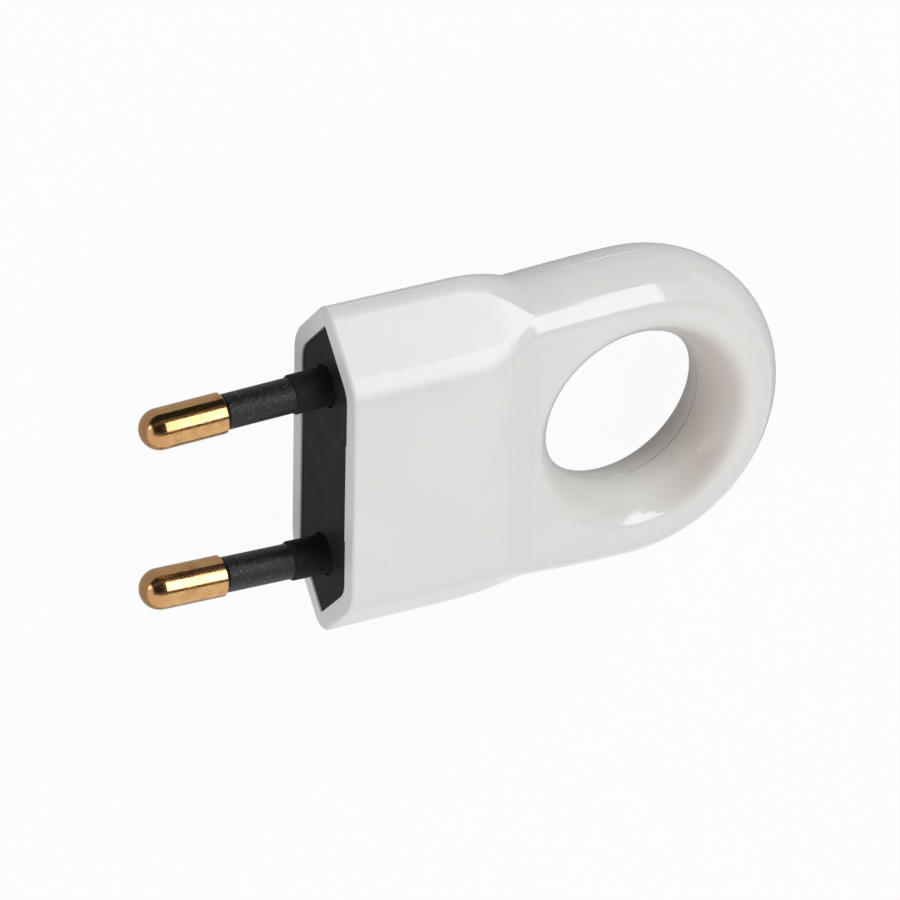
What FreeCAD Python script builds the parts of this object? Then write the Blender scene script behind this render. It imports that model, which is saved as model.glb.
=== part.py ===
# Two-pin mains plug with a finger ring, made to be opened and wired.
# Frame: origin at the centre of the black engagement face, on the parting plane of the two covers.
# +X runs from the pins to the ring, +Y across the width, +Z out of the front cover. Millimetres.
import FreeCAD, Part
import math
import os

V = FreeCAD.Vector
X_AXIS = V(1, 0, 0)
Y_AXIS = V(0, 1, 0)
Z_AXIS = V(0, 0, 1)
ORIGIN = V(0, 0, 0)
ROOT2 = math.sqrt(2)
TAN_22_5 = math.tan(math.radians(22.5))
ABOVE = 1
BELOW = -1

# Hexagonal body of the housing
body_half_width = 17.65
body_half_height = 6.85
body_tip_radius = 2.0
body_corner_radius = 4.4
rim_proud = 0.15
rim_edge_radius = 0.3
neck_start_x = 13.4
neck_corner_x = 19.5
neck_curve_power = 1.8
neck_corner_blend = 0.55
neck_inset = 0.45

# Finger ring
ring_centre_x = 31.1
ring_outer_radius = 16.45
ring_half_height = 5.15
ring_tip_radius = 5.4
ring_corner_radius = 3.8
ring_hole_radius = 8.5
ring_hole_wall_radius = 6.5

# Moulded walls and the joint between the covers
wall = 1.8
inner_edge_radius = 0.2
parting_chamfer = 0.07
lip_height = 0.8
lip_width = 0.75
lip_start = 0.6
fit_clearance = 0.08
overrun = 1.0
rib_thickness = 1.0
rib_angles = (45, 125)
peg_radius = 0.9
peg_length = 1.4
peg_edge = 0.2

# Pins: how far in from the narrow sides they stand at the face, which spaces them 18.6 apart there,
# and how much closer together their tips are
pin_from_side = 8.35
pin_convergence = 1.1
pin_length = 19.0
pin_radius = 2.0
pin_core_radius = 1.3
pin_rear_chamfer = 0.3
sleeve_end = 10.5
sleeve_radius = 1.72
sleeve_edge_radius = 0.12
moulded_clearance = 0.02

# Black pin carrier
carrier_depth = 3.0
flange_start = 1.4
flange_height = 0.7
key_half_width = 5.25
key_depth = 0.45
collar_radius = 1.92
collar_length = 3.7
collar_edge_radius = 0.25
relief_width = 0.2
relief_depth = 0.3
trough_wall = 1.0
trough_floor = 1.3
trough_clearance = 0.1
trough_wall_top = 1.2
wire_gap_clearance = 0.3

# Terminal heads of the pins
head_start = 3.3
head_length = 6.2
head_width = 4.0
head_half_height = 2.0
head_chamfer = 0.25
wire_hole_radius = 1.1
wire_hole_depth = 5.0
terminal_screw_offset = 3.2
terminal_seat_depth = 0.6
terminal_screw_reach = 0.7

# Screws: shank radius, head radius and head height of each kind
terminal_screw = (1.0, 1.5, 1.0)
small_screw = (1.0, 1.7, 1.1)
closing_screw = (1.2, 2.1, 1.5)
slot_width = 0.6
slot_share_of_head = 0.55
screw_point_length = 0.6
screw_hole_clearance = 0.15
screw_head_clearance = 0.15
terminal_slot_angle = 25
clamp_slot_angles = (20, 65)
body_slot_angle = 35
ring_slot_angle = 80

# Closing screws, one in the body and one at the far end of the ring
body_screw_x = 7.2
body_boss_radius = 3.2
body_head_floor = 3.3
body_screw_reach = 3.6
ring_boss_radius = 2.35
ring_head_floor = 2.2
ring_screw_reach = 2.6
pilot_spare_depth = 0.5

# Flat cord inlet on the narrow side at -Y, and the clamp behind it
inlet_centre_x = 16.2
inlet_length = 5.4
inlet_height = 3.2
inlet_flare = 0.6
clamp_from_side = 6.4
clamp_screw_spacing = 7.4
clamp_width = 3.4
clamp_thickness = 1.5
clamp_seat_z = 0.2
clamp_tooth_height = 0.5
clamp_tooth_width = 0.9
clamp_post_radius = 1.85
clamp_screw_length = 3.6
jaw_top_z = -2.3

# Ribs of the covers: the back's carry the troughs of the carrier, the front's hold the terminal heads down
seat_rib_places = (4.3, 8.8)
seat_rib_clearance = 0.05
press_rib_clearance = 0.1

# Worked out from the sizes above
pin_lean = math.degrees(math.atan(pin_convergence / 2 / pin_length))
neck_half_width = ring_outer_radius - neck_inset
clamp_y = clamp_from_side - min(body_half_width, neck_half_width)
hole_corner_radius = (ring_half_height - ring_hole_wall_radius / ROOT2) / (1 - 1 / ROOT2)
ring_middle_radius = (ring_outer_radius + ring_hole_radius) / 2
ring_screw_x = ring_centre_x + ring_middle_radius
trough_bottom = -(head_half_height + trough_clearance + trough_floor)
head_end = head_start + head_length
pin_place = body_half_width - pin_from_side
clear_height = body_half_height + overrun


def neck_share(x):
    """How far the section has gone from body (0) to ring (1): a convex run, then a tight inner corner."""
    run = neck_corner_x - neck_start_x

    def area_up_to(position):
        share = (position - neck_start_x) / run
        if share <= 0:
            return 0.0
        if share <= 1:
            return run * share ** (neck_curve_power + 1) / (neck_curve_power + 1)
        return run / (neck_curve_power + 1) + position - neck_corner_x

    blend = neck_corner_blend
    return (area_up_to(x + blend) - area_up_to(x - blend)) / (2 * blend)


def section_sizes(x):
    """Half width, half height, tip radius and corner radius of the housing at x."""
    share = neck_share(x)
    past_neck = max(0.0, (x - neck_corner_x) / (ring_centre_x - neck_corner_x))
    widening = (ring_outer_radius - neck_half_width) * math.sin(past_neck * math.pi / 2)
    body = (body_half_width, body_half_height, body_tip_radius, body_corner_radius)
    ring = (neck_half_width + widening, ring_half_height, ring_tip_radius, ring_corner_radius)
    return [b + (r - b) * share for b, r in zip(body, ring)]


def arc(start, middle, end):
    return Part.Arc(start, middle, end).toShape()


def joined(edges):
    return Part.Wire(Part.__sortEdges__(edges))


def face_of(edges):
    return Part.Face(joined(edges))


def box(x, y, z):
    """Box from three pairs of limits."""
    size = [pair[1] - pair[0] for pair in (x, y, z)]
    return Part.makeBox(*size, V(x[0], y[0], z[0]))


def post(x, y, radius, low, high):
    return Part.makeCylinder(radius, high - low, V(x, y, low), Z_AXIS)


def even_steps(first, last, steps):
    return [first + (last - first) * i / steps for i in range(steps + 1)]


def quadrant(x, inset, chamfer):
    """End points and edges of the section's +Y, +Z quadrant, from the parting plane up to the flat.
    Its facet is where y + z is the facet size; an inset moves the outline in and sharpens its corners."""
    width, height, tip, corner = section_sizes(x)
    facet = width + (ROOT2 - 1) * tip - ROOT2 * inset
    height -= inset
    tip = max(tip - inset, inner_edge_radius)
    corner = max(corner - inset, inner_edge_radius)
    tip_centre = facet - ROOT2 * tip
    first_angle = math.asin(chamfer / tip)
    middle_angle = (first_angle + math.pi / 4) / 2
    tangent = corner * TAN_22_5
    corner_y = facet - height - tangent
    tip_start = V(x, tip_centre + tip * math.cos(first_angle), chamfer)
    tip_middle = V(x, tip_centre + tip * math.cos(middle_angle), tip * math.sin(middle_angle))
    tip_end = V(x, tip_centre + tip / ROOT2, tip / ROOT2)
    corner_start = V(x, facet - height + tangent / ROOT2, height - tangent / ROOT2)
    corner_middle = V(x, corner_y + corner * math.sin(math.pi / 8),
                      height - corner * (1 - math.cos(math.pi / 8)))
    corner_end = V(x, corner_y, height)
    edges = [arc(tip_start, tip_middle, tip_end), Part.makeLine(tip_end, corner_start),
             arc(corner_start, corner_middle, corner_end)]
    if chamfer == 0:
        return tip_start, corner_end, edges
    foot = V(x, tip_start.y - chamfer, 0)
    return foot, corner_end, [Part.makeLine(foot, tip_start)] + edges


def upper_outline(x, inset, chamfer):
    """Feet on the parting plane and edges above it, from one foot over the flat to the other."""
    foot, top, right = quadrant(x, inset, chamfer)
    left = [edge.mirror(ORIGIN, Y_AXIS) for edge in right]
    across = Part.makeLine(top, V(x, -top.y, top.z))
    return foot, V(x, -foot.y, 0), right + left + [across]


def half_section(x, inset=0.0, chamfer=0.0):
    """Closed wire of the housing's section above the parting plane."""
    right_foot, left_foot, edges = upper_outline(x, inset, chamfer)
    return joined(edges + [Part.makeLine(left_foot, right_foot)])


def whole_section(x, inset, chamfer):
    """Closed wire of the housing's section on both sides of the parting plane."""
    edges = upper_outline(x, inset, chamfer)[2]
    return joined(edges + [edge.mirror(ORIGIN, Z_AXIS) for edge in edges])


def ring_end(inset, chamfer):
    """Round far end of the ring, above the parting plane."""
    foot, top, edges = quadrant(ring_centre_x, inset, chamfer)
    axis_top = V(ring_centre_x, 0, top.z)
    axis_foot = V(ring_centre_x, 0, 0)
    corners = [top, axis_top, axis_foot, foot]
    edges += [Part.makeLine(a, b) for a, b in zip(corners, corners[1:])]
    return face_of(edges).revolve(axis_foot, Z_AXIS, -180)


def rounded_mouth(start_x, chamfer):
    """First stretch of the body, whose outer edge is rounded at the open mouth."""
    sections = []
    for angle in even_steps(0, math.pi / 2, 3):
        x = start_x + rim_edge_radius * (1 - math.cos(angle))
        sections.append(whole_section(x, rim_edge_radius * (1 - math.sin(angle)), chamfer))
    reach = body_half_width + overrun
    below = box((start_x - overrun, start_x + overrun), (-reach, reach), (-reach, 0))
    return Part.makeLoft(sections, True).cut(below)


def housing_half(start_x, inset=0.0, chamfer=0.0):
    """Form of the housing above the parting plane, without the finger hole."""
    first = neck_start_x - neck_corner_blend
    last = neck_corner_x + neck_corner_blend
    body = Part.Face(half_section(first, inset, chamfer)).extrude(V(start_x - first, 0, 0))
    neck = Part.makeLoft([half_section(x, inset, chamfer) for x in even_steps(first, last, 12)], True)
    sides = Part.makeLoft(
        [half_section(x, inset, chamfer) for x in even_steps(last, ring_centre_x, 3)], True)
    return body.fuse([neck, sides, ring_end(inset, chamfer)])


def hole_core(inset=0.0, chamfer=0.0):
    """Solid that fills the finger hole above the parting plane; with an inset, its wall as well."""
    wall_radius = ring_hole_wall_radius - inset
    corner_radius = hole_corner_radius - inset
    wall_centre = ring_centre_x + ring_hole_radius + ring_hole_wall_radius
    first_angle = math.asin(chamfer / wall_radius)

    def on_wall(angle):
        return V(wall_centre - wall_radius * math.cos(angle), 0, wall_radius * math.sin(angle))

    wall_start = on_wall(first_angle)
    wall_end = on_wall(math.pi / 4)
    corner_centre = wall_end + V(corner_radius / ROOT2, 0, -corner_radius / ROOT2)
    corner_middle = corner_centre + V(-corner_radius * math.sin(math.pi / 8), 0,
                                      corner_radius * math.cos(math.pi / 8))
    corner_end = corner_centre + V(0, 0, corner_radius)
    foot = wall_start + V(chamfer, 0, -chamfer)
    lines = [V(corner_end.x, 0, clear_height), V(ring_centre_x, 0, clear_height),
             V(ring_centre_x, 0, -overrun), V(foot.x, 0, -overrun), foot, wall_start]
    edges = [arc(wall_start, on_wall((first_angle + math.pi / 4) / 2), wall_end),
             arc(wall_end, corner_middle, corner_end)]
    corners = [corner_end] + lines
    edges += [Part.makeLine(a, b) for a, b in zip(corners, corners[1:]) if a.distanceToPoint(b) > 1e-6]
    return face_of(edges).revolve(V(ring_centre_x, 0, 0), Z_AXIS, 360)


def to_side(shape, side):
    """Leaves a shape above the parting plane, or mirrors it below."""
    return shape if side == ABOVE else shape.mirror(ORIGIN, Z_AXIS)


def body_prism(start_x, end_x, inset):
    """Whole hexagonal section of the body, both sides of the parting plane."""
    section = Part.Face(half_section(0.0, inset))
    section.translate(V(start_x, 0, 0))
    upper = section.extrude(V(end_x - start_x, 0, 0))
    return upper.fuse(to_side(upper, BELOW)).removeSplitter()


def place_pin(shape, side):
    """Moves a shape made on the X axis to the pin on one side, with the pin's lean."""
    placed = shape.copy()
    placed.rotate(ORIGIN, Z_AXIS, side * pin_lean)
    placed.translate(V(0, side * pin_place, 0))
    return placed


def turned(points, rounds=()):
    """Solid turned about the X axis from (x, radius) points; rounds maps a corner to its radius."""
    corners = [V(x, 0, radius) for x, radius in points]
    profile = Part.makePolygon(corners + corners[:1])
    solid = Part.Face(profile).revolve(ORIGIN, X_AXIS, 360)
    for place, corner_radius, fillet_radius in rounds:
        edges = [edge for edge in solid.Edges
                 if isinstance(edge.Curve, Part.Circle)
                 and abs(edge.Curve.Center.x - place) < 1e-6
                 and abs(edge.Curve.Radius - corner_radius) < 1e-6]
        solid = solid.makeFillet(fillet_radius, edges)
    return solid


def slotted_screw(kind, shank_length):
    """Screw along Z with the underside of its head at zero and its point below."""
    shank_radius, head_radius, head_height = kind
    head = Part.makeCylinder(head_radius, head_height)
    rim = [edge for edge in head.Edges if abs(edge.BoundBox.ZMin - head_height) < 1e-6]
    head = head.makeChamfer(head_height / 5, rim)
    straight = shank_length - screw_point_length
    shank = Part.makeCylinder(shank_radius, straight, V(0, 0, -straight), Z_AXIS)
    point = Part.makeCone(shank_radius / 2, shank_radius, screw_point_length, V(0, 0, -shank_length), Z_AXIS)
    slot_floor = head_height * (1 - slot_share_of_head)
    slot = box((-head_radius, head_radius), (-slot_width / 2, slot_width / 2), (slot_floor, head_height))
    return head.fuse([shank, point]).removeSplitter().cut(slot)


def placed_screw(kind, shank_length, x, y, z, head_side, angle):
    """Screw set with its head's underside at z, head up or down, its slot turned by an angle."""
    screw = slotted_screw(kind, shank_length)
    screw.rotate(ORIGIN, Z_AXIS, angle)
    screw = to_side(screw, head_side)
    screw.translate(V(x, y, z))
    return screw


def make_pin(side):
    """Brass pin turned in one piece with its terminal head, drilled for the wire and its screw."""
    nose_start = -(pin_length - pin_radius)
    shoulder = -sleeve_end
    edges = [
        arc(V(-pin_length, 0, 0),
            V(nose_start - pin_radius / ROOT2, 0, pin_radius / ROOT2),
            V(nose_start, 0, pin_radius)),
    ]
    outline = [V(nose_start, 0, pin_radius), V(shoulder - pin_rear_chamfer, 0, pin_radius),
               V(shoulder, 0, pin_radius - pin_rear_chamfer), V(shoulder, 0, pin_core_radius),
               V(head_start, 0, pin_core_radius), V(head_start, 0, 0), V(-pin_length, 0, 0)]
    edges += [Part.makeLine(a, b) for a, b in zip(outline, outline[1:])]
    shaft = face_of(edges).revolve(ORIGIN, X_AXIS, 360)
    head = box((head_start, head_end), (-head_width / 2, head_width / 2),
               (-head_half_height, head_half_height))
    head = head.makeChamfer(head_chamfer, head.Edges)
    shank_radius, screw_head_radius, _ = terminal_screw
    wire_hole = Part.makeCylinder(wire_hole_radius, wire_hole_depth + overrun,
                                  V(head_end - wire_hole_depth, 0, 0), X_AXIS)
    screw_x = head_start + terminal_screw_offset
    tapping = post(screw_x, 0, shank_radius + moulded_clearance, 0, head_half_height + overrun)
    seat = post(screw_x, 0, screw_head_radius + screw_head_clearance,
                head_half_height - terminal_seat_depth, head_half_height + overrun)
    return place_pin(shaft.fuse(head).removeSplitter().cut([wire_hole, tapping, seat]), side)


def make_terminal_screw(side):
    seat_z = head_half_height - terminal_seat_depth
    screw = placed_screw(terminal_screw, seat_z + terminal_screw_reach,
                         head_start + terminal_screw_offset, 0, seat_z, ABOVE,
                         side * terminal_slot_angle)
    return place_pin(screw, side)


def make_sleeve(side):
    """Insulating sleeve round the waist of a pin, from the collar to the brass."""
    front = -sleeve_end + moulded_clearance
    back = -collar_length - moulded_clearance
    bore = pin_core_radius + moulded_clearance
    points = [(front, bore), (front, sleeve_radius), (back, sleeve_radius), (back, bore)]
    return place_pin(turned(points, [(front, sleeve_radius, sleeve_edge_radius)]), side)


def make_pin_carrier():
    """Black insert: engagement face, collars with reliefs, and troughs for the terminal heads."""
    plate = body_prism(0.0, carrier_depth - fit_clearance, wall + fit_clearance)
    flange = body_prism(flange_start + fit_clearance, carrier_depth - fit_clearance,
                        wall - flange_height + fit_clearance)
    inside = body_prism(carrier_depth / 2, head_end + trough_wall, wall + fit_clearance)
    trough_half_width = head_width / 2 + trough_clearance + trough_wall
    trough_block = box((carrier_depth / 2, head_end + trough_wall), (-trough_half_width, trough_half_width),
                       (trough_bottom, trough_wall_top))
    stub = carrier_depth / 2
    collar = turned([(stub, 0), (-collar_length, 0), (-collar_length, collar_radius), (stub, collar_radius)],
                    [(-collar_length, collar_radius, collar_edge_radius)])
    pocket = box((head_start - trough_clearance, head_end + trough_clearance),
                 (-head_width / 2 - trough_clearance, head_width / 2 + trough_clearance),
                 (-head_half_height - trough_clearance, clear_height))
    bore = Part.makeCylinder(pin_core_radius + moulded_clearance, overrun + collar_length + head_start,
                             V(-collar_length - overrun, 0, 0), X_AXIS)
    gap_radius = wire_hole_radius + wire_gap_clearance
    wire_gap = Part.makeCylinder(gap_radius, trough_wall + overrun, V(head_end, 0, 0), X_AXIS)
    wire_gap = wire_gap.fuse(box((head_end, head_end + trough_wall + overrun), (-gap_radius, gap_radius),
                                 (0, clear_height)))
    relief = turned([(-overrun, collar_radius), (-overrun, collar_radius + relief_width),
                     (relief_depth, collar_radius + relief_width), (relief_depth, collar_radius)])
    solids = [flange]
    cutters = []
    for side in (1, -1):
        solids.append(place_pin(trough_block, side).common(inside))
        solids.append(place_pin(collar, side))
        cutters += [place_pin(shape, side) for shape in (pocket, bore, wire_gap, relief)]
    key_floor = body_half_height - wall - key_depth - fit_clearance
    key_reach = key_half_width + fit_clearance
    cutters.append(box((-overrun, flange_start), (-key_reach, key_reach), (key_floor, body_half_height)))
    return plate.fuse(solids).removeSplitter().cut(cutters)


def ring_ribs():
    """Radial ribs across the hollow of the ring, the same on both sides."""
    ribs = []
    for angle in rib_angles:
        rib = box((0, ring_outer_radius), (-rib_thickness / 2, rib_thickness / 2),
                  (fit_clearance, clear_height))
        for turn in (angle, -angle):
            turned_rib = rib.copy()
            turned_rib.rotate(ORIGIN, Z_AXIS, turn)
            turned_rib.translate(V(ring_centre_x, 0, 0))
            ribs.append(turned_rib)
    return ribs


def peg_places():
    return [(ring_centre_x, side * ring_middle_radius) for side in (1, -1)]


def common_core():
    """What both covers keep inside their hollow: hole wall, ribs, screw bosses and peg posts."""
    kept = [hole_core(wall)] + ring_ribs()
    kept.append(post(ring_screw_x, 0, ring_boss_radius, 0, clear_height))
    kept.append(post(body_screw_x, 0, body_boss_radius, 0, clear_height))
    kept += [post(x, y, ring_boss_radius, 0, clear_height) for x, y in peg_places()]
    return kept


def seat_ribs(low, high):
    """Two ribs across the body, over the ends of the terminal heads."""
    half = rib_thickness / 2
    return [box((x - half, x + half), (-body_half_width, body_half_width), (low, high))
            for x in seat_rib_places]


def cover_blank(side, kept):
    """Outer form of a cover with its hollow, less what is kept inside."""
    outer = housing_half(rim_edge_radius - rim_proud, 0.0, parting_chamfer)
    outer = outer.fuse(rounded_mouth(-rim_proud, parting_chamfer))
    hollow = housing_half(-overrun, wall).cut(kept)
    groove = body_prism(flange_start, carrier_depth, wall - flange_height)
    blank = outer.cut([hollow, hole_core(0.0, parting_chamfer), groove])
    return to_side(blank.removeSplitter(), side)


def lip_band(outer_inset, height):
    """Band along the inside of the walls at the parting plane, from the carrier round the ring."""
    slab = box((carrier_depth + lip_start, ring_centre_x + ring_outer_radius),
               (-body_half_width, body_half_width), (0, height))
    band = housing_half(0.0, outer_inset).common(slab)
    return band.cut(housing_half(-overrun, wall))


def hole_lip(inner_inset, height):
    """Band round the finger hole's wall at the parting plane."""
    outer = Part.makeCylinder(ring_hole_radius + wall, height, V(ring_centre_x, 0, 0), Z_AXIS)
    inner = Part.makeCylinder(ring_hole_radius + inner_inset, height, V(ring_centre_x, 0, 0), Z_AXIS)
    return outer.cut(inner)


def inlet_wire(y, growth):
    """Outline of the cord inlet at y: a slot with round ends."""
    radius = inlet_height / 2 + growth
    straight = inlet_length / 2 - inlet_height / 2
    left = inlet_centre_x - straight
    right = inlet_centre_x + straight
    edges = [Part.makeLine(V(left, y, radius), V(right, y, radius)),
             arc(V(right, y, radius), V(right + radius, y, 0), V(right, y, -radius)),
             Part.makeLine(V(right, y, -radius), V(left, y, -radius)),
             arc(V(left, y, -radius), V(left - radius, y, 0), V(left, y, radius))]
    return joined(edges)


def inlet_cutter():
    """Straight slot through the side wall, flared at its mouth."""
    slot = Part.Face(inlet_wire(-body_half_width - overrun, 0)).extrude(V(0, overrun + wall * 2, 0))
    mouth = Part.makeLoft([inlet_wire(-body_half_width - inlet_flare, inlet_flare * 2),
                           inlet_wire(-body_half_width + inlet_flare, 0)], True, True)
    return slot.fuse(mouth)


def screw_wells(x, kind, head_floor):
    """Clearance hole and head well of a closing screw, cut from the back."""
    shank_radius, head_radius, _ = kind
    return [post(x, 0, shank_radius + screw_hole_clearance, -head_floor - overrun, overrun),
            post(x, 0, head_radius + screw_head_clearance, -clear_height, -head_floor)]


def make_front_cover():
    press_ribs = seat_ribs(head_half_height + press_rib_clearance, clear_height)
    cover = cover_blank(ABOVE, common_core() + press_ribs)
    key_floor = body_half_height - wall - key_depth
    key = box((0.0, flange_start), (-key_half_width, key_half_width),
              (key_floor, body_half_height - wall / 2))
    lips = [to_side(band, BELOW) for band in (lip_band(wall - lip_width, lip_height),
                                             hole_lip(wall - lip_width, lip_height))]
    pegs = []
    for x, y in peg_places():
        peg = post(x, y, peg_radius, -peg_length, overrun)
        tip = [edge for edge in peg.Edges if abs(edge.BoundBox.ZMax + peg_length) < 1e-6]
        pegs.append(peg.makeChamfer(peg_edge, tip))
    pilots = [post(body_screw_x, 0, closing_screw[0] + moulded_clearance, -overrun,
                   body_screw_reach + pilot_spare_depth),
              post(ring_screw_x, 0, small_screw[0] + moulded_clearance, -overrun,
                   ring_screw_reach + pilot_spare_depth)]
    return cover.fuse([key] + lips + pegs).cut(pilots + [inlet_cutter()]).removeSplitter()


def clamp_screw_places():
    return [inlet_centre_x + side * clamp_screw_spacing / 2 for side in (-1, 1)]


def make_back_cover():
    seat_top = -trough_bottom + seat_rib_clearance
    kept = common_core() + seat_ribs(seat_top, clear_height)
    kept += [post(x, clamp_y, clamp_post_radius, 0, clear_height) for x in clamp_screw_places()]
    first, last = clamp_screw_places()
    kept.append(box((first, last), (clamp_y - rib_thickness / 2, clamp_y + rib_thickness / 2),
                    (-jaw_top_z, clear_height)))
    cover = cover_blank(BELOW, kept)
    inner_inset = wall - lip_width - fit_clearance
    rebates = [to_side(band, BELOW) for band in (lip_band(inner_inset, lip_height + fit_clearance),
                                                hole_lip(inner_inset, lip_height + fit_clearance))]
    sockets = [post(x, y, peg_radius + fit_clearance, -peg_length - fit_clearance, overrun)
               for x, y in peg_places()]
    wells = screw_wells(body_screw_x, closing_screw, body_head_floor)
    wells += screw_wells(ring_screw_x, small_screw, ring_head_floor)
    post_tops = [post(x, clamp_y, clamp_post_radius, -overrun, clamp_seat_z) for x in clamp_screw_places()]
    pilots = [post(x, clamp_y, small_screw[0] + moulded_clearance,
                   clamp_seat_z + clamp_thickness - clamp_screw_length - pilot_spare_depth, overrun)
              for x in clamp_screw_places()]
    cover = cover.cut(rebates + sockets + wells + [inlet_cutter()])
    return cover.fuse(post_tops).cut(pilots).removeSplitter()


def make_cord_clamp():
    """Bar that presses the cord on the jaw of the back cover."""
    first, last = clamp_screw_places()
    low = clamp_seat_z
    high = clamp_seat_z + clamp_thickness
    half_width = clamp_width / 2
    bar = box((first, last), (clamp_y - half_width, clamp_y + half_width), (low, high))
    ends = [post(x, clamp_y, half_width, low, high) for x in (first, last)]
    gap = clamp_post_radius + fit_clearance
    tooth = box((first + gap, last - gap), (clamp_y - clamp_tooth_width / 2, clamp_y + clamp_tooth_width / 2),
                (low - clamp_tooth_height, low + clamp_thickness / 2))
    holes = [post(x, clamp_y, small_screw[0] + screw_hole_clearance, low - overrun, high + overrun)
             for x in (first, last)]
    return bar.fuse(ends + [tooth]).removeSplitter().cut(holes)


def make_clamp_screw(x, angle):
    head_z = clamp_seat_z + clamp_thickness
    return placed_screw(small_screw, clamp_screw_length, x, clamp_y, head_z, ABOVE, angle)


def make_closing_screw(x, kind, head_floor, reach, angle):
    return placed_screw(kind, head_floor + reach, x, 0, -head_floor, BELOW, angle)


def make_parts():
    near, far = clamp_screw_places()
    near_angle, far_angle = clamp_slot_angles
    return {
        "front_cover": make_front_cover(),
        "back_cover": make_back_cover(),
        "pin_carrier": make_pin_carrier(),
        "pin_left": make_pin(1),
        "pin_right": make_pin(-1),
        "pin_sleeve_left": make_sleeve(1),
        "pin_sleeve_right": make_sleeve(-1),
        "terminal_screw_left": make_terminal_screw(1),
        "terminal_screw_right": make_terminal_screw(-1),
        "cord_clamp": make_cord_clamp(),
        "clamp_screw_near": make_clamp_screw(near, near_angle),
        "clamp_screw_far": make_clamp_screw(far, far_angle),
        "closing_screw_body": make_closing_screw(body_screw_x, closing_screw, body_head_floor,
                                                 body_screw_reach, body_slot_angle),
        "closing_screw_ring": make_closing_screw(ring_screw_x, small_screw, ring_head_floor,
                                                 ring_screw_reach, ring_slot_angle),
    }


def main():
    os.makedirs("parts", exist_ok=True)
    for name, shape in make_parts().items():
        shape.exportStep(os.path.join("parts", name + ".step"))
        print(name, "valid", shape.isValid(), "solids", len(shape.Solids), "volume", round(shape.Volume, 1))


main()
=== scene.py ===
import math

import bpy
from bpy.props import FloatProperty, FloatVectorProperty, PointerProperty
from mathutils import Matrix, Vector


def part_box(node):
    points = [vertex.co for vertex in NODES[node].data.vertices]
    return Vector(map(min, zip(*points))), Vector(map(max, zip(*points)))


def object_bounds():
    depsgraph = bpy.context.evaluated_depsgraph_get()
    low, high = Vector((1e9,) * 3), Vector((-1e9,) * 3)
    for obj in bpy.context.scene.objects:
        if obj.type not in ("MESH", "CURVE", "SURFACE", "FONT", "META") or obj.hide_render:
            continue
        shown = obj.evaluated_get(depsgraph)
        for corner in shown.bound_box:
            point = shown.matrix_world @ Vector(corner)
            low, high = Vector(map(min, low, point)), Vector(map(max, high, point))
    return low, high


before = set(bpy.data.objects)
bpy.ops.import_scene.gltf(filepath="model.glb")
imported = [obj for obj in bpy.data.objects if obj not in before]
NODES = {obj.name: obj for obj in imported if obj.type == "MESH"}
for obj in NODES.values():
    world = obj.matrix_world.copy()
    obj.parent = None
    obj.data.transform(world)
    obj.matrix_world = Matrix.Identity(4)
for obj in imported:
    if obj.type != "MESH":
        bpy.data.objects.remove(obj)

bl_info = {
    "name": "Finger-ring plug",
    "version": (1, 0, 0),
    "blender": (4, 5, 0),
    "location": "3D View > Sidebar > Plug",
    "description": "Finishes of a two-pin plug with a finger ring, and the studio it is shown in",
    "category": "Object",
}

CAD_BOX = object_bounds()
MM = 0.001
WHITE = (1.0, 1.0, 1.0, 1.0)

# Places along the plug, whose pins point towards -X
PIN_TIP_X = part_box("pin_left")[0].x
RING_RADIUS = 16.45 * MM
RING_CENTRE_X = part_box("front_cover")[1].x - RING_RADIUS

# Limits between which the parts of a finish fade, in millimetres
BODY_START = (0.4, 1.4)
BODY_END = (11.6, 13.0)
# Painted shade on the far wall of the ring's hole: where it fades out round the hole's axis, and
# how far along X it reaches from the ring's middle
HOLE_SHADE_EDGE = (9.8, 12.0)
HOLE_SHADE_REACH = 8.0
# Width of the dark line along the covers' joint, which is partly painted shade in its groove
SEAM_SHADE_EDGE = (0.02, 0.09)
# Painted shade on the pins: heights over which the lower side darkens, and lengths from the end of
# the nose over which the nose darkens
PIN_UNDERSIDE_SHADE = (-1.75, 0.25)
PIN_TIP_SHADE = (0.6, 3.4)

# How much of each mark's colour shows
SPECK_SHARE = 0.6
# Share of the painted shade on the far wall of the ring's hole
HOLE_SHADE_SHARE = 0.6
# Shares of the dark line along the covers' joint, outside and inside the ring; partly painted
# shade, strongest inside the ring's hole
SEAM_SHADE_SHARE = 0.2
SEAM_SHADE_SHARE_INSIDE = 0.75
PATCH_SHARE = 0.70
BLOTCH_SHARE = 0.85
# Share of the painted shade on the pins' lower side and nose
UNDERSIDE_SHADE_SHARE = 0.6
PIT_SHARE = 0.6

# Camera
PHOTO_PIXELS = 900
SENSOR_WIDTH = 36.0
CLIP_START = 0.01
CLIP_END = 20.0

# Floor, just under the plug's back so that the two faces don't share a plane; the glow is the
# share of it that is plain white to the camera
FLOOR_Z = CAD_BOX[0].z - 0.05 * MM
FLOOR_REACH = 4.0
FLOOR_GLOW = 0.95

# Lamps: name, direction from the plug, and the setting that holds the power
LAMP_AIM = Vector((10 * MM, 0, 0))
LAMP_DISTANCE = 0.60
LAMP_SIZE = 0.45
LAMPS = [
    ("key_lamp", (0.43, 0.75, 0.50), "key_power"),
    ("high_lamp", (0.43, 0.25, 0.87), "high_power"),
    ("near_fill", (-0.43, -0.75, 0.50), "near_fill_power"),
    ("far_fill", (0.43, -0.75, 0.50), "far_fill_power"),
    ("front_fill", (-0.87, 0.0, 0.50), "front_power"),
]

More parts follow.
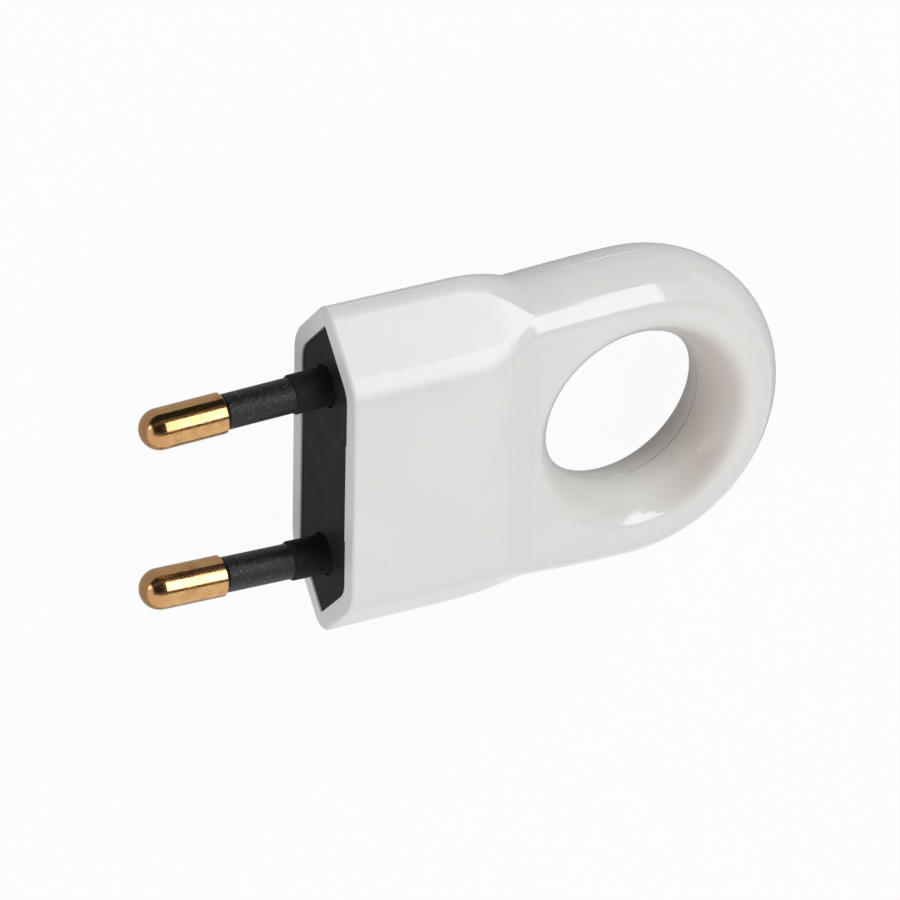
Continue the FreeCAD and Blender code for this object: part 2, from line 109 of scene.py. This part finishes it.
# Cards round the X axis: name, limits along X, limits in degrees up from +Y, level, and the
# distance where it differs
CARD_DISTANCE = 0.40
FLAG_DISTANCE = 0.39
SOFTBOX_ALONG = (0.110, 0.285)
SOFTBOX_RISE = (29, 79)
CARDS = [
    ("softbox_edge", (-0.65, 0.60), (81, 97), 0.16),
    ("dark_room", (-0.65, 0.104), (29, 81), 0.03),
    ("brown_flag", (-0.65, 0.165), (16, 34), 0.14, FLAG_DISTANCE),
    ("black_flag", (-0.65, 0.165), (-1, 16), 0.025),
    ("side_flag", (0.165, 0.60), (-1, 29), 0.10),
    ("nose_light", (-1.60, -0.66), (-1, 24), 5.0),
]

# Cards on the floor: name, corners, level
TABLE_CARD_LIFT = 0.3 * MM
TABLE_CARDS = [
    ("near_table", [(-0.40, -0.30), (0.006, -0.30), (0.006, 0.027), (-0.40, 0.027)], 0.50),
    ("black_table", [(-0.40, 0.027), (0.006, 0.027), (0.20, 0.50), (-0.40, 0.50)], 0.025),
    ("far_table",
     [(0.006, -0.02), (0.50, -0.02), (0.50, 0.50), (0.20, 0.50), (0.006, 0.027)], 0.35),
]

# Colour sockets of a Mix node, by place
MIX_FIRST, MIX_SECOND, MIX_RESULT = 6, 7, 2


# Node maths

class Wire:
    """A socket that can be used in Python expressions; each operator adds its Math node."""

    def __init__(self, shader, socket):
        self.shader = shader
        self.socket = socket

    def math(self, operation, *values):
        return self.shader.node("ShaderNodeMath", {"operation": operation}, values)["Value"]

    def __add__(self, other):
        return self.math("ADD", self, other)

    def __radd__(self, other):
        return self.math("ADD", other, self)

    def __sub__(self, other):
        return self.math("SUBTRACT", self, other)

    def __rsub__(self, other):
        return self.math("SUBTRACT", other, self)

    def __mul__(self, other):
        return self.math("MULTIPLY", self, other)

    def __rmul__(self, other):
        return self.math("MULTIPLY", other, self)

    def __lt__(self, other):
        return self.math("LESS_THAN", self, other)

    def __gt__(self, other):
        return self.math("GREATER_THAN", self, other)

    def __abs__(self):
        return self.math("ABSOLUTE", self)

    def root(self):
        return self.math("SQRT", self)

    def largest(self, other):
        return self.math("MAXIMUM", self, other)

    def step(self, low, high):
        """Zero below low, one above high, smooth between."""
        settings = {"interpolation_type": "SMOOTHSTEP"}
        sockets = [self, low, high, 0.0, 1.0]
        return self.shader.node("ShaderNodeMapRange", settings, sockets)["Result"]


class Made:
    """A node that was just made; indexing gives an output as a Wire."""

    def __init__(self, shader, node):
        self.shader = shader
        self.node = node

    def __getitem__(self, name):
        return Wire(self.shader, self.node.outputs[name])


class Shader:
    """The node tree of a material or of the world."""

    def __init__(self, tree):
        self.tree = tree
        tree.nodes.clear()

    def node(self, kind, settings=None, sockets=None):
        """Adds a node, sets its settings, then sets or links its sockets, by place or by name."""
        node = self.tree.nodes.new(kind)
        for name, value in (settings or {}).items():
            setattr(node, name, value)
        sockets = sockets or {}
        pairs = sockets.items() if isinstance(sockets, dict) else enumerate(sockets)
        for key, value in pairs:
            self.feed(node.inputs[key], value)
        return Made(self, node)

    def feed(self, socket, value):
        if isinstance(value, Wire):
            self.tree.links.new(value.socket, socket)
        else:
            socket.default_value = value

    def place(self):
        """Place on the surface in millimetres, as a vector."""
        sockets = {"Vector": self.node("ShaderNodeTexCoord")["Object"], "Scale": 1 / MM}
        return self.node("ShaderNodeVectorMath", {"operation": "SCALE"}, sockets)["Vector"]

    def parts(self, vector):
        """The three parts of a vector."""
        made = self.node("ShaderNodeSeparateXYZ", None, [vector])
        return made["X"], made["Y"], made["Z"]

    def stretched(self, vector, scale):
        """A vector with its three parts scaled."""
        made = self.node("ShaderNodeVectorMath", {"operation": "MULTIPLY"}, [vector, scale])
        return made["Vector"]

    def noise(self, vector, scale, detail, roughness=0.5):
        sockets = {"Vector": vector, "Scale": scale, "Detail": detail, "Roughness": roughness}
        return self.node("ShaderNodeTexNoise", None, sockets)["Fac"]

    def swing(self, vector, scale, detail):
        """Noise about zero."""
        return self.noise(vector, scale, detail) - 0.5

    def spots(self, vector, scale, radius, share):
        """One inside scattered round spots: the radius as a part of a cell, and the share of the
        cells that have a spot."""
        made = self.node("ShaderNodeTexVoronoi", None, {"Vector": vector, "Scale": scale})
        chance = self.node("ShaderNodeSeparateColor", None, [made["Color"]])["Red"]
        return (made["Distance"] < radius) * (chance > 1 - share)

    def mix(self, share, first, second):
        """Colour between two colours."""
        settings = {"data_type": "RGBA", "blend_type": "MIX"}
        sockets = {"Factor": share, MIX_FIRST: first, MIX_SECOND: second}
        return self.node("ShaderNodeMix", settings, sockets)[MIX_RESULT]

    def bump(self, height, strength):
        """Normal for a height in millimetres."""
        sockets = {"Height": height, "Distance": MM, "Strength": strength}
        return self.node("ShaderNodeBump", None, sockets)["Normal"]

    def surface(self, sockets):
        """Principled surface with the given sockets, wired to the output."""
        made = self.node("ShaderNodeBsdfPrincipled", None, sockets)
        self.node("ShaderNodeOutputMaterial", None, [made["BSDF"]])


def rgba(colour, level=1.0):
    """Colour made darker or lighter by a level, with its alpha."""
    return (*(part * level for part in colour), 1.0)


def new_material(name):
    material = bpy.data.materials.new(name)
    material.use_nodes = True
    return material, Shader(material.node_tree)


def dress(names, material):
    """Gives CAD pieces one finish."""
    for name in names:
        slots = NODES[name].material_slots
        if len(slots) == 0:
            NODES[name].data.materials.append(material)
        for slot in slots:
            slot.material = material


# Settings

def number_property(name, description, default):
    return FloatProperty(name=name, description=description, default=default)


def colour_property(name, description, default):
    return FloatVectorProperty(name=name, description=description, subtype="COLOR", size=3,
                               min=0.0, max=1.0, default=default)


def share_property(name, description, default):
    return FloatProperty(name=name, description=description, subtype="FACTOR",
                         min=0.0, max=1.0, default=default)


def length_property(name, description, default):
    return FloatProperty(name=name, description=description, subtype="DISTANCE", unit="LENGTH",
                         default=default)


def angle_property(name, description, degrees):
    return FloatProperty(name=name, description=description, subtype="ANGLE",
                         default=math.radians(degrees))


def power_property(name, description, default):
    return FloatProperty(name=name, description=description, unit="POWER", min=0.0,
                         default=default)


class ShellSettings(bpy.types.PropertyGroup):
    """White covers."""
    colour: colour_property("Colour", "White of the moulded covers", (0.80, 0.79, 0.77))
    speck_colour: colour_property("Specks", "Colour of the few dark specks in the plastic",
                                  (0.25, 0.22, 0.19))
    # Colour of the painted shade on the far wall of the ring's hole
    hole_shade_colour: colour_property("Hole_shade", "Colour of the painted_shade inside the ring",
                                 (0.60, 0.54, 0.50))
    # Colour of the dark joint line, which is partly painted shade in its groove
    seam_shade_colour: colour_property("Seam", "Colour of the line where the covers meet",
                                 (0.22, 0.18, 0.15))
    body_roughness: share_property("Body roughness", "Roughness of the satin body", 0.31)
    ring_roughness: share_property("Ring roughness", "Roughness of the glossy ring", 0.09)
    gloss_start: length_property("Gloss from", "Where the satin body starts to turn glossy",
                                 15.9 * MM)
    gloss_full: length_property("Gloss full", "Where the ring is fully glossy", 17.6 * MM)


class CarrierSettings(bpy.types.PropertyGroup):
    """Black insert and the sleeves of the pins."""
    colour: colour_property("Colour", "Black of the insert", (0.011, 0.011, 0.012))
    roughness: share_property("Roughness", "Roughness of the insert", 0.55)
    sleeve_colour: colour_property("Sleeves", "Black of the sleeves", (0.004, 0.004, 0.005))
    sleeve_roughness: share_property("Sleeve roughness", "Roughness of the sleeves", 0.38)


class PinSettings(bpy.types.PropertyGroup):
    """Brass pins."""
    colour: colour_property("Brass", "Colour of polished brass", (0.69, 0.41, 0.17))
    # Colour of the real tarnish patches, also used for the painted shade on the pins' lower side
    # and nose
    tarnish_and_shade_colour: colour_property("Tarnish", "Colour of the browned patches",
                                    (0.53, 0.26, 0.12))
    roughness: share_property("Roughness", "Roughness of the polished pin", 0.10)


class SmallPartSettings(bpy.types.PropertyGroup):
    """Screws and the cord clamp."""
    steel_colour: colour_property("Steel", "Colour of the plated screws", (0.58, 0.58, 0.60))
    steel_roughness: share_property("Steel roughness", "Roughness of the plated screws", 0.30)
    clamp_colour: colour_property("Clamp", "Colour of the cord clamp", (0.72, 0.71, 0.67))
    clamp_roughness: share_property("Clamp roughness", "Roughness of the cord clamp", 0.45)


class StageSettings(bpy.types.PropertyGroup):
    """Camera, lamps and background."""
    camera_azimuth: angle_property("Camera azimuth", "Direction of the camera round the plug",
                                   126.136)
    camera_elevation: angle_property("Camera elevation", "Height of the camera as an angle",
                                     49.651)
    camera_roll: angle_property("Camera roll", "Turn of the camera about its view", 137.597)
    camera_distance: length_property("Camera distance", "From the plug's origin to the camera",
                                     0.6883)
    camera_right: length_property("Camera right", "Shift of the camera to its right", 11.855 * MM)
    camera_up: length_property("Camera up", "Shift of the camera upwards", 1.927 * MM)
    pixels_per_mm: number_property("Scale", "Pixels of the photograph per millimetre at the plug",
                                   10.598)
    world_level: number_property("World", "Strength of the light from all round", 0.20)
    key_power: power_property("Key lamp", "Large soft lamp over the +Y side", 1.82)
    high_power: power_property("High lamp", "Soft lamp high over the ring", 0.52)
    near_fill_power: power_property("Near fill", "Soft lamp on the -Y side, before the pins", 0.80)
    far_fill_power: power_property("Far fill", "Soft lamp on the -Y side, behind the ring", 0.92)
    front_power: power_property("Front fill", "Soft lamp that faces the pins", 1.25)
    softbox_level: number_property("Softbox", "Brightness of the large lamp in reflections", 5.5)
    floor_colour: colour_property("Floor", "Colour of the floor", (0.60, 0.60, 0.60))


# Finishes; lengths and heights are in millimetres, and noise scales are per millimetre

def shell_finish(look):
    """White moulded plastic: satin on the body and glossy on the ring, with a few dark specks,
    painted shade on the far wall of the ring's hole, and a dark line where the covers meet that is
    partly painted shade in its groove."""
    material, shader = new_material("white_plastic")
    place = shader.place()
    x, y, z = shader.parts(place)
    ring_x = RING_CENTRE_X / MM
    around_x = x - ring_x
    inside = 1 - (around_x * around_x + y * y).root().step(*HOLE_SHADE_EDGE)
    body = x.step(*BODY_START) * (1 - x.step(*BODY_END))

    cloud = shader.noise(place, scale=0.11, detail=3.0)
    colour = shader.mix(cloud.step(0.3, 0.7), rgba(look.colour), rgba(look.colour, 0.975))
    # Painted shade: darkens the far wall of the ring's hole, which faces away from the key lamp
    hole_shade = inside * x.step(ring_x, ring_x + HOLE_SHADE_REACH) * (1 + cloud) * HOLE_SHADE_SHARE
    colour = shader.mix(hole_shade, colour, rgba(look.hole_shade_colour))
    # Dark line along the covers' joint: partly a dark joint, partly painted shade in its groove,
    # darker inside the ring's hole
    seam_shade_share = inside * (SEAM_SHADE_SHARE_INSIDE - SEAM_SHADE_SHARE) + SEAM_SHADE_SHARE
    seam_shade = (1 - abs(z).step(*SEAM_SHADE_EDGE)) * seam_shade_share
    colour = shader.mix(seam_shade, colour, rgba(look.seam_shade_colour))
    speck = shader.spots(place, scale=0.22, radius=0.022, share=0.20)
    colour = shader.mix(speck * SPECK_SHARE, colour, rgba(look.speck_colour))

    brushed = shader.swing(shader.stretched(place, (0.25, 1.6, 1.6)), scale=1.0, detail=2.0)
    satin = look.body_roughness + brushed * body * 0.16
    wavy = shader.swing(place, scale=0.35, detail=3.0)
    glossy = look.ring_roughness + wavy * 0.05
    gloss = x.step(look.gloss_start / MM, look.gloss_full / MM)

    grain = shader.swing(place, scale=7.0, detail=2.0)
    streaks = shader.swing(shader.stretched(place, (0.22, 1.9, 1.9)), scale=1.0, detail=3.0)
    ripple = shader.swing(place, scale=0.45, detail=1.0)
    shader.surface({
        "Base Color": colour,
        "Roughness": satin * (1 - gloss) + glossy * gloss,
        "IOR": 1.49,
        "Subsurface Weight": 0.06,
        "Subsurface Radius": (1.0, 0.9, 0.8),
        "Subsurface Scale": 1.2 * MM,
        "Normal": shader.bump((grain * 0.010 + streaks * 0.009) * body + ripple * 0.012,
                              strength=0.35),
    })
    return material


def carrier_finish(look):
    """Matt black plastic with a fine grain."""
    material, shader = new_material("black_insert")
    place = shader.place()
    cloud = shader.noise(place, scale=0.35, detail=3.0)
    grain = shader.noise(place, scale=14.0, detail=2.0)
    mottled = shader.swing(place, scale=2.5, detail=3.0)
    shader.surface({
        "Base Color": shader.mix(cloud.step(0.35, 0.75), rgba(look.colour), rgba(look.colour, 1.6)),
        "Roughness": look.roughness + mottled * 0.16,
        "IOR": 1.50,
        "Specular IOR Level": 0.12,
        "Normal": shader.bump(grain * 0.012 + cloud * 0.01, strength=0.5),
    })
    return material


def sleeve_finish(look):
    """Black sleeve with a speckled sheen, whose light specks are painted glints in its colour, and
    fine lines along the pin.
    """
    material, shader = new_material("black_sleeve")
    place = shader.place()
    grain = shader.noise(place, scale=3.2, detail=4.0, roughness=0.65)
    fine = shader.noise(place, scale=9.0, detail=2.0)
    lines = shader.noise(shader.stretched(place, (0.5, 6.0, 6.0)), scale=1.0, detail=2.0)
    black, painted_glint = rgba(look.sleeve_colour), rgba(look.sleeve_colour, 16)
    shader.surface({
        # Painted highlight: light grey specks in the colour stand for the glints of the sleeve's
        # speckled sheen
        "Base Color": shader.mix(grain.step(0.56, 0.70), black, painted_glint),
        "Roughness": look.sleeve_roughness - grain.step(0.54, 0.64) * 0.20,
        "IOR": 1.52,
        "Specular IOR Level": 0.42,
        "Normal": shader.bump(grain * 0.10 + fine * 0.03 + lines * 0.02, strength=0.8),
    })
    return material


def brass_finish(look):
    """Polished brass, tarnished in soft patches, with painted shade on its lower side and at its
    nose, fine turning marks and small pits."""
    material, shader = new_material("polished_brass")
    place = shader.place()
    x, _, z = shader.parts(place)
    tip_x = PIN_TIP_X / MM
    # Painted shade: the pin's lower side and its nose are darkened in the colour
    underside_shade = 1 - z.step(*PIN_UNDERSIDE_SHADE)
    tip_shade = 1 - x.step(tip_x + PIN_TIP_SHADE[0], tip_x + PIN_TIP_SHADE[1])
    patches = shader.noise(place, scale=0.75, detail=5.0, roughness=0.65)
    blotches = shader.noise(shader.stretched(place, (0.9, 2.0, 2.0)), scale=1.6, detail=4.0,
                            roughness=0.6)
    # Real tarnish in patches and blotches, then painted shade on the lower side and nose
    tarnish_and_shade = patches.step(0.42, 0.64) * PATCH_SHARE
    tarnish_and_shade = tarnish_and_shade.largest(blotches.step(0.48, 0.68) * BLOTCH_SHARE)
    tarnish_and_shade = tarnish_and_shade.largest(underside_shade.largest(tip_shade) * UNDERSIDE_SHADE_SHARE)
    colour = shader.mix(tarnish_and_shade, rgba(look.colour), rgba(look.tarnish_and_shade_colour))
    pit = shader.spots(place, scale=1.9, radius=0.12, share=0.45) * (patches > 0.48)
    colour = shader.mix(pit * PIT_SHARE, colour, rgba(look.tarnish_and_shade_colour, 0.4))
    turning = shader.noise(shader.stretched(place, (11.0, 0.4, 0.4)), scale=1.0, detail=2.0)
    fine = shader.swing(place, scale=5.0, detail=3.0)
    shader.surface({
        "Base Color": colour,
        "Metallic": 1.0,
        "Roughness": look.roughness + tarnish_and_shade * 0.14 + fine * 0.06,
        "Normal": shader.bump(turning * 0.004 + fine * 0.010 - pit * 0.02, strength=0.5),
    })
    return material


def steel_finish(look):
    """Zinc-plated steel with a brushed turn."""
    material, shader = new_material("plated_steel")
    place = shader.place()
    cloud = shader.noise(place, scale=0.8, detail=4.0)
    brushing = shader.swing(shader.stretched(place, (8.0, 8.0, 0.6)), scale=1.0, detail=3.0)
    bright, dull = rgba(look.steel_colour), rgba(look.steel_colour, 0.82)
    shader.surface({
        "Base Color": shader.mix(cloud.step(0.35, 0.7), bright, dull),
        "Metallic": 1.0,
        "Roughness": look.steel_roughness + brushing * 0.20,
        "Normal": shader.bump(brushing * 0.01, strength=0.4),
    })
    return material


def clamp_finish(look):
    """Off-white matt plastic of the cord clamp."""
    material, shader = new_material("clamp_plastic")
    place = shader.place()
    cloud = shader.noise(place, scale=0.5, detail=3.0)
    grain = shader.swing(place, scale=10.0, detail=2.0)
    pale, darker = rgba(look.clamp_colour), rgba(look.clamp_colour, 0.93)
    shader.surface({
        "Base Color": shader.mix(cloud.step(0.3, 0.7), pale, darker),
        "Roughness": look.clamp_roughness + grain * 0.12,
        "IOR": 1.49,
        "Normal": shader.bump(grain * 0.01, strength=0.4),
    })
    return material


# Studio

def camera_axes(stage):
    """Directions to the right of, above and towards the camera."""
    azimuth, elevation, roll = stage.camera_azimuth, stage.camera_elevation, stage.camera_roll
    towards = Vector((math.cos(elevation) * math.cos(azimuth),
                      math.cos(elevation) * math.sin(azimuth),
                      math.sin(elevation)))
    level = Vector((0, 0, 1)).cross(towards).normalized()
    above = towards.cross(level)
    right = math.cos(roll) * level + math.sin(roll) * above
    up = -math.sin(roll) * level + math.cos(roll) * above
    return right, up, towards


def facing(place, aim, up):
    """Matrix of something at a place whose -Z looks at the aim."""
    back = (place - aim).normalized()
    side = up.cross(back).normalized()
    top = back.cross(side)
    turn = Matrix((side, top, back)).transposed().to_4x4()
    return Matrix.Translation(place) @ turn


def add_object(name, data):
    made = bpy.data.objects.new(name, data)
    bpy.context.scene.collection.objects.link(made)
    return made


def add_sheet(name, corners, material):
    """One flat face."""
    mesh = bpy.data.meshes.new(name)
    mesh.from_pydata(corners, [], [range(len(corners))])
    mesh.materials.append(material)
    return add_object(name, mesh)


def add_camera(stage):
    right, up, towards = camera_axes(stage)
    data = bpy.data.cameras.new("photo_camera")
    data.sensor_width = SENSOR_WIDTH
    data.lens = stage.pixels_per_mm * stage.camera_distance / MM * SENSOR_WIDTH / PHOTO_PIXELS
    data.clip_start = CLIP_START
    data.clip_end = CLIP_END
    camera = add_object("photo_camera", data)
    place = towards * stage.camera_distance + right * stage.camera_right + up * stage.camera_up
    camera.matrix_world = facing(place, place - towards, up)
    bpy.context.scene.camera = camera


def add_lamp(name, direction, power):
    """Large soft lamp that looks at the middle of the plug; the cards stand for it in
    reflections."""
    data = bpy.data.lights.new(name, "AREA")
    data.shape = "DISK"
    data.size = LAMP_SIZE
    data.energy = power
    lamp = add_object(name, data)
    place = LAMP_AIM + Vector(direction).normalized() * LAMP_DISTANCE
    lamp.matrix_world = facing(place, LAMP_AIM, Vector((1, 0, 0)))
    lamp.visible_glossy = False


def add_glow_sheet(name, corners, level):
    """Sheet that only shows in reflections."""
    material, shader = new_material(name)
    glow = shader.node("ShaderNodeEmission", None, {"Color": WHITE, "Strength": level})
    shader.node("ShaderNodeOutputMaterial", None, [glow["Emission"]])
    sheet = add_sheet(name, corners, material)
    for ray in ("camera", "diffuse", "shadow", "transmission", "volume_scatter"):
        setattr(sheet, "visible_" + ray, False)


def add_card(name, along, rise, level, distance=CARD_DISTANCE):
    """Card that stands round the X axis, from one limit to the other along X and in degrees up
    from +Y."""
    middle = math.radians((rise[0] + rise[1]) / 2)
    half = math.radians((rise[1] - rise[0]) / 2)
    out = Vector((0, math.cos(middle), math.sin(middle))) * distance
    up = Vector((0, -math.sin(middle), math.cos(middle))) * distance * math.tan(half)
    corners = [out + up * side + Vector((x, 0, 0)) for side, x in
               ((-1, along[0]), (-1, along[1]), (1, along[1]), (1, along[0]))]
    add_glow_sheet(name, corners, level)


def add_table_card(name, corners, level):
    """Card that lies on the floor."""
    add_glow_sheet(name, [(x, y, FLOOR_Z + TABLE_CARD_LIFT) for x, y in corners], level)


def background_rays(shader):
    """One for the rays that see the background: camera, glossy and transmission rays."""
    path = shader.node("ShaderNodeLightPath")
    return path["Is Camera Ray"].largest(path["Is Glossy Ray"]).largest(path["Is Transmission Ray"])


def add_floor(stage):
    """Pale floor under the plug: white to the camera, but for the plug's soft shadow."""
    material, shader = new_material("floor")
    paper = shader.node("ShaderNodeBsdfDiffuse", None, {"Color": rgba(stage.floor_colour)})
    glow = shader.node("ShaderNodeEmission", None, {"Color": WHITE, "Strength": 1.0})
    share = background_rays(shader) * FLOOR_GLOW
    mixed = shader.node("ShaderNodeMixShader", None, [share, paper["BSDF"], glow["Emission"]])
    shader.node("ShaderNodeOutputMaterial", None, [mixed["Shader"]])
    corners = [(x * FLOOR_REACH, y * FLOOR_REACH, FLOOR_Z)
               for x, y in ((-1, -1), (1, -1), (1, 1), (-1, 1))]
    floor = add_sheet("floor", corners, material)


def add_world(stage):
    world = bpy.data.worlds.new("studio")
    bpy.context.scene.world = world
    world.use_nodes = True
    shader = Shader(world.node_tree)
    seen = background_rays(shader)
    level = seen + (1 - seen) * stage.world_level
    sky = shader.node("ShaderNodeBackground", None, {"Color": WHITE, "Strength": level})
    shader.node("ShaderNodeOutputWorld", None, [sky["Background"]])


# Operators

class PLUG_OT_covers(bpy.types.Operator):
    """Gives the two white covers their finish"""
    bl_idname = "plug.covers"
    bl_label = "Covers"

    def execute(self, context):
        dress(["front_cover", "back_cover"], shell_finish(context.scene.plug_shell))
        return {"FINISHED"}


class PLUG_OT_carrier(bpy.types.Operator):
    """Gives the black insert its finish"""
    bl_idname = "plug.carrier"
    bl_label = "Black insert"

    def execute(self, context):
        dress(["pin_carrier"], carrier_finish(context.scene.plug_carrier))
        return {"FINISHED"}


class PLUG_OT_sleeves(bpy.types.Operator):
    """Gives the sleeves of the pins their finish"""
    bl_idname = "plug.sleeves"
    bl_label = "Sleeves"

    def execute(self, context):
        dress(["pin_sleeve_left", "pin_sleeve_right"], sleeve_finish(context.scene.plug_carrier))
        return {"FINISHED"}


class PLUG_OT_pins(bpy.types.Operator):
    """Gives the brass pins their finish"""
    bl_idname = "plug.pins"
    bl_label = "Pins"

    def execute(self, context):
        dress(["pin_left", "pin_right"], brass_finish(context.scene.plug_pins))
        return {"FINISHED"}


class PLUG_OT_screws(bpy.types.Operator):
    """Gives every screw its finish"""
    bl_idname = "plug.screws"
    bl_label = "Screws"

    def execute(self, context):
        names = [name for name in NODES if "screw" in name]
        dress(names, steel_finish(context.scene.plug_small_parts))
        return {"FINISHED"}


class PLUG_OT_clamp(bpy.types.Operator):
    """Gives the cord clamp its finish"""
    bl_idname = "plug.clamp"
    bl_label = "Cord clamp"

    def execute(self, context):
        dress(["cord_clamp"], clamp_finish(context.scene.plug_small_parts))
        return {"FINISHED"}


class PLUG_OT_stage(bpy.types.Operator):
    """Sets up the camera, the floor, the world, the lamps and the cards"""
    bl_idname = "plug.stage"
    bl_label = "Stage"

    def execute(self, context):
        stage = context.scene.plug_stage
        context.scene.view_settings.view_transform = "Standard"
        add_camera(stage)
        add_floor(stage)
        add_world(stage)
        for name, direction, power in LAMPS:
            add_lamp(name, direction, getattr(stage, power))
        add_card("softbox", SOFTBOX_ALONG, SOFTBOX_RISE, stage.softbox_level)
        for card in CARDS:
            add_card(*card)
        for card in TABLE_CARDS:
            add_table_card(*card)
        return {"FINISHED"}


class PLUG_PT_sidebar(bpy.types.Panel):
    """Lists the plug's steps and settings"""
    bl_idname = "PLUG_PT_sidebar"
    bl_label = "Finger-ring plug"
    bl_space_type = "VIEW_3D"
    bl_region_type = "UI"
    bl_category = "Plug"

    def draw(self, context):
        for step in STEPS:
            self.layout.operator(step.bl_idname)
        for name in GROUPS:
            settings = getattr(context.scene, name)
            for field in settings.__annotations__:
                self.layout.prop(settings, field)


GROUPS = {
    "plug_shell": ShellSettings,
    "plug_carrier": CarrierSettings,
    "plug_pins": PinSettings,
    "plug_small_parts": SmallPartSettings,
    "plug_stage": StageSettings,
}
STEPS = [PLUG_OT_covers, PLUG_OT_carrier, PLUG_OT_sleeves, PLUG_OT_pins, PLUG_OT_screws,
         PLUG_OT_clamp, PLUG_OT_stage]
CLASSES = [*GROUPS.values(), *STEPS, PLUG_PT_sidebar]


def register():
    for made in CLASSES:
        bpy.utils.register_class(made)
    for name, group in GROUPS.items():
        setattr(bpy.types.Scene, name, PointerProperty(type=group))


def unregister():
    for name in GROUPS:
        delattr(bpy.types.Scene, name)
    for made in reversed(CLASSES):
        bpy.utils.unregister_class(made)


def main():
    register()
    bpy.ops.plug.covers()
    bpy.ops.plug.carrier()
    bpy.ops.plug.sleeves()
    bpy.ops.plug.pins()
    bpy.ops.plug.screws()
    bpy.ops.plug.clamp()
    bpy.ops.plug.stage()


if __name__ == "__main__":
    main()
